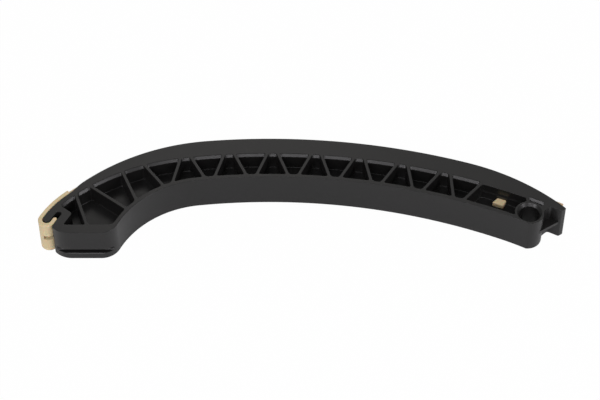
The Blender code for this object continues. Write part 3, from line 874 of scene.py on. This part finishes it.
def end_web():
    """The web between the boss and the flange's free end."""
    end = rail_point(FLANGE_IN, turn_at(FLANGE_END))
    to_end = end - PIVOT
    tangent_turn = turn_of(to_end) + math.degrees(math.acos(BOSS_RADIUS / to_end.length))
    bridge_turn = turn_at((BRIDGE_START + BRIDGE_END) / 2)
    end_turn = turn_at(FLANGE_END) - END_WEB_INSET_TURN
    flange = rail_path(FLANGE_IN + END_WEB_IN_FLANGE, bridge_turn, end_turn)
    boss = arc_path(PIVOT, BOSS_RADIUS - END_WEB_IN_BOSS, tangent_turn - 2, turn_of(flange[0] - PIVOT))
    outline = walked(flange, 0, length_of(flange), 8)
    outline.append(PIVOT + (BOSS_RADIUS - 0.05) * heading(tangent_turn))
    outline += walked(boss, 0, length_of(boss), 10)
    return rounded_slab("end_web", outline, WEB_LOW, WEB_TOP, END_WEB_ROUND)


def make_rail():
    outline, _ = outline_of(rail_sides())
    rail = rounded_slab("rail", outline, 0.0, RAIL_WIDTH, EDGE_ROUND)
    combine(rail, [channel_tool()], "DIFFERENCE")
    combine(rail, [pocket_tools()], "DIFFERENCE")
    window = slab("latch_window", latch_outline(FIT, CREST_RISE), (RAIL_WIDTH - LATCH_HEIGHT) / 2 - FIT,
                  (RAIL_WIDTH + LATCH_HEIGHT) / 2 + FIT)
    combine(rail, [window, bore_tool(), groove_tool()], "DIFFERENCE")
    combine(rail, [slot_web(), end_web()], "UNION")
    return rail


def make_lining():
    outline, _ = outline_of(lining_sides())
    low, high = LINING_END_INSET, RAIL_WIDTH - LINING_END_INSET
    lining = rounded_slab("lining", outline, low, high, LINING_ROUND)
    start = -RAMP_FOOT_TURN - math.degrees(FIT / LEFT_RADIUS)
    end = turn_at(FLANGE_END) + 4
    below, above = rail_path(SEAT - BEYOND, start, end), rail_path(BEYOND, end, start)
    space = walked(below, 0, length_of(below), 200) + walked(above, 0, length_of(above), 200)
    edge = SIDE_WALL + FIT
    edges = [slab("edge_low", space, -BEYOND, edge)]
    edges.append(slab("edge_high", space, RAIL_WIDTH - edge, RAIL_WIDTH + BEYOND))
    tip = tip_centre()
    left, right = tip.x - TIP_RADIUS, tip.x + SLOT_LENGTH + 2 * FLANGE
    bottom, top = tip.y - 2 * (TIP_RADIUS + LINING), tip.y + RETURN_LENGTH
    corners = [Vector((left, bottom)), Vector((right, bottom)), Vector((right, top)), Vector((left, top))]
    slit = slab("hook_slit", corners, WEB_LOW - FIT, WEB_TOP + FIT)
    combine(lining, [joined("edges", edges), slit], "DIFFERENCE")
    tab = soft_polygon(tab_outline(), TAB_CORNER)
    rise = LATCH_HEIGHT / 2
    latch = rounded_slab("latch", tab, RAIL_WIDTH / 2 - rise, RAIL_WIDTH / 2 + rise, TAB_ROUND)
    combine(lining, [latch], "UNION")
    return lining


def shade(obj):
    """Smooth normals that lie flat on the large faces and turn only along the rounded edges."""
    shape = bmesh.new()
    shape.from_mesh(obj.data)
    bmesh.ops.remove_doubles(shape, verts=shape.verts, dist=2e-6)
    bmesh.ops.dissolve_degenerate(shape, edges=shape.edges, dist=1e-6)
    shape.to_mesh(obj.data)
    shape.free()
    obj.data.shade_smooth()
    obj.data.set_sharp_from_angle(angle=math.radians(SHARP_ANGLE))
    weighted = obj.modifiers.new("flat_faces", "WEIGHTED_NORMAL")
    weighted.keep_sharp = True


# Materials


def linear(hex_colour):
    """A colour of six hex digits, in sRGB, as the linear values that a shader takes."""
    parts = [int(hex_colour[i : i + 2], 16) / 255 for i in (0, 2, 4)]
    return tuple(c / 12.92 if c <= 0.04045 else ((c + 0.055) / 1.055) ** 2.4 for c in parts) + (1.0,)


def add(tree, kind, properties=None, **inputs):
    """Adds a node, sets its properties, and sets or links its inputs. A link is a node and its output's name,
    and an input that shares its name with others is given as its number after a stroke."""
    made = tree.nodes.new(kind)
    for name, value in (properties or {}).items():
        setattr(made, name, value)
    for name, value in inputs.items():
        socket = made.inputs[int(name[1:])] if name[1:].isdigit() else made.inputs[name.replace("_", " ")]
        if isinstance(value, tuple) and isinstance(value[0], bpy.types.Node):
            tree.links.new(value[0].outputs[value[1]], socket)
        else:
            socket.default_value = value
    return made


def new_material(name):
    made = bpy.data.materials.new(name)
    made.use_nodes = True
    made.node_tree.nodes.clear()
    return made, made.node_tree


def glass_filled_polyamide():
    """Black polyamide 66 with glass fibre, injection moulded: a satin skin, faintly cloudy where fibres lie
    near the surface, so its gloss varies more than its colour does."""
    made, tree = new_material("glass_filled_polyamide_moulded")
    place = add(tree, "ShaderNodeTexCoord")
    cloud = add(tree, "ShaderNodeTexNoise", Vector=(place, "Object"),
                Scale=1 / (9 * MM), Detail=4.0, Roughness=0.6)
    # The mould's grain is finer than a pixel, so it is drawn 0.6 mm wide
    grain = add(tree, "ShaderNodeTexNoise", Vector=(place, "Object"), Scale=1 / (0.6 * MM), Detail=2.0)
    colour = add(tree, "ShaderNodeMix", {"data_type": "RGBA"}, Factor=(cloud, "Fac"),
                 _6=linear("171717"), _7=linear("1d1c1b"))
    rough = add(tree, "ShaderNodeMapRange", Value=(cloud, "Fac"),
                From_Min=0.3, From_Max=0.7, To_Min=0.31, To_Max=0.38)
    bump = add(tree, "ShaderNodeBump", Height=(grain, "Fac"), Strength=0.12, Distance=0.06 * MM)
    shader = add(tree, "ShaderNodeBsdfPrincipled", Base_Color=(colour, "Result"), Roughness=(rough, "Result"),
                 IOR=1.5, Specular_IOR_Level=0.42, Normal=(bump, "Normal"))
    add(tree, "ShaderNodeOutputMaterial", Surface=(shader, "BSDF"))
    return made


def natural_polyamide():
    """Undyed polyamide 46, injection moulded: creamy, waxy and a little translucent."""
    made, tree = new_material("natural_polyamide_moulded")
    place = add(tree, "ShaderNodeTexCoord")
    cloud = add(tree, "ShaderNodeTexNoise", Vector=(place, "Object"), Scale=1 / (14 * MM), Detail=3.0)
    # Its grain is as fine as the rail's, and is drawn 0.8 mm wide
    grain = add(tree, "ShaderNodeTexNoise", Vector=(place, "Object"), Scale=1 / (0.8 * MM), Detail=2.0)
    colour = add(tree, "ShaderNodeMix", {"data_type": "RGBA"}, Factor=(cloud, "Fac"),
                 _6=linear("dcc598"), _7=linear("e9d6ac"))
    bump = add(tree, "ShaderNodeBump", Height=(grain, "Fac"), Strength=0.1, Distance=0.05 * MM)
    shader = add(tree, "ShaderNodeBsdfPrincipled", Base_Color=(colour, "Result"), Roughness=0.42, IOR=1.52,
                 Normal=(bump, "Normal"), Subsurface_Weight=0.15, Subsurface_Scale=1.0 * MM)
    add(tree, "ShaderNodeOutputMaterial", Surface=(shader, "BSDF"))
    return made


def show_white(tree, lit, lit_output, share, in_gloss):
    """Mixes plain white over a lit shader for what the camera sees of the surroundings, and over a share of
    it for what gloss and glass see."""
    rays = add(tree, "ShaderNodeLightPath")
    gloss = add(tree, "ShaderNodeMath", {"operation": "MAXIMUM"},
                _0=(rays, "Is Glossy Ray"), _1=(rays, "Is Transmission Ray"))
    gloss = add(tree, "ShaderNodeMath", {"operation": "MULTIPLY"}, _0=(gloss, "Value"), _1=in_gloss)
    seen = add(tree, "ShaderNodeMath", {"operation": "MAXIMUM"},
               _0=(rays, "Is Camera Ray"), _1=(gloss, "Value"))
    amount = add(tree, "ShaderNodeMath", {"operation": "MULTIPLY"}, _0=(seen, "Value"), _1=share)
    white = add(tree, "ShaderNodeEmission", Color=(1.0, 1.0, 1.0, 1.0), Strength=1.0)
    return add(tree, "ShaderNodeMixShader",
               _0=(amount, "Value"), _1=(lit, lit_output), _2=(white, "Emission"))


def make_floor():
    """A pale table under the part."""
    half, level = 3.0, -0.0001
    mesh = bpy.data.meshes.new("table_top")
    corners = [(-half, -half, level), (half, -half, level), (half, half, level), (-half, half, level)]
    mesh.from_pydata(corners, [], [(0, 1, 2, 3)])
    floor = bpy.data.objects.new("table_top", mesh)
    bpy.context.scene.collection.objects.link(floor)
    made, tree = new_material("pale_table")
    lit = add(tree, "ShaderNodeBsdfDiffuse", Color=linear("f6f6f6"))
    mixed = show_white(tree, lit, "BSDF", 0.985, 0.26)
    add(tree, "ShaderNodeOutputMaterial", Surface=(mixed, "Shader"))
    mesh.materials.append(made)


def make_world(strength):
    world = bpy.data.worlds.new("studio")
    world.use_nodes = True
    tree = world.node_tree
    tree.nodes.clear()
    lit = add(tree, "ShaderNodeBackground", Color=(1.0, 1.0, 1.0, 1.0), Strength=strength)
    mixed = show_white(tree, lit, "Background", 1.0, 0.1)
    add(tree, "ShaderNodeOutputWorld", Surface=(mixed, "Shader"))
    bpy.context.scene.world = world


def lamp(name, place, size, power, colour=(1.0, 1.0, 1.0), target=(0, 0, 0)):
    """A soft rectangular light that faces its target."""
    data = bpy.data.lights.new(name, "AREA")
    data.shape = "RECTANGLE"
    data.size, data.size_y = size
    data.energy = power
    data.color = colour
    obj = bpy.data.objects.new(name, data)
    obj.location = place
    obj.rotation_euler = (Vector(target) - Vector(place)).to_track_quat("-Z", "Y").to_euler()
    bpy.context.scene.collection.objects.link(obj)


def make_camera(shift):
    """The photograph's view: 49 degrees above the table, square to the rail, with a long lens."""
    elevation = math.radians(CAMERA_ELEVATION)
    target = Vector((CAMERA_TARGET[0] + shift.x, CAMERA_TARGET[1] + shift.y, RAIL_WIDTH)) * MM
    back = Vector((0.0, -math.cos(elevation), math.sin(elevation)))
    data = bpy.data.cameras.new("camera")
    data.lens = CAMERA_LENS
    data.sensor_width = CAMERA_SENSOR
    data.clip_start = 0.01
    camera = bpy.data.objects.new("camera", data)
    camera.location = target + back * CAMERA_DISTANCE * MM
    camera.rotation_euler = (-back).to_track_quat("-Z", "Y").to_euler()
    bpy.context.scene.collection.objects.link(camera)
    bpy.context.scene.camera = camera


def main():
    bpy.context.scene.view_settings.view_transform = "Standard"
    outline, _ = outline_of(rail_sides())
    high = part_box("rail_body")[1]
    shift = Vector((high[0] / MM - max(p.x for p in outline), high[1] / MM - max(p.y for p in outline)))
    rail, lining = make_rail(), make_lining()
    for obj, material, node_name in (
        (rail, glass_filled_polyamide(), "rail_body"),
        (lining, natural_polyamide(), "slide_lining"),
    ):
        shade(obj)
        obj.data.materials.clear()
        obj.data.materials.append(material)
        obj.location = (shift.x * MM, shift.y * MM, 0.0)
        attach(obj, "root")
        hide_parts(node_name)
    make_floor()
    make_world(WORLD_STRENGTH)
    lamp("front_softbox", (0.0, -1.1, 0.95), (0.7, 0.4), 4.0, COOL_WHITE)
    lamp("right_softbox", (1.02, -0.6, 0.8), (0.35, 0.35), 4.6, COOL_WHITE)
    lamp("left_softbox", (-0.7, -0.78, 0.82), (0.35, 0.35), 3.8, COOL_WHITE)
    lamp("back_softbox", (0.0, 0.85, 0.97), (1.3, 0.5), 0.45, WARM_WHITE)
    lamp("rear_softbox", (0.1, 1.3, 0.4), (1.2, 0.5), 3.6)
    lamp("back_glow", (-0.09, 0.45, 0.53), (0.3, 0.2), 0.12, WARM_WHITE, (-0.05, 0, 0))
    make_camera(shift)


main()
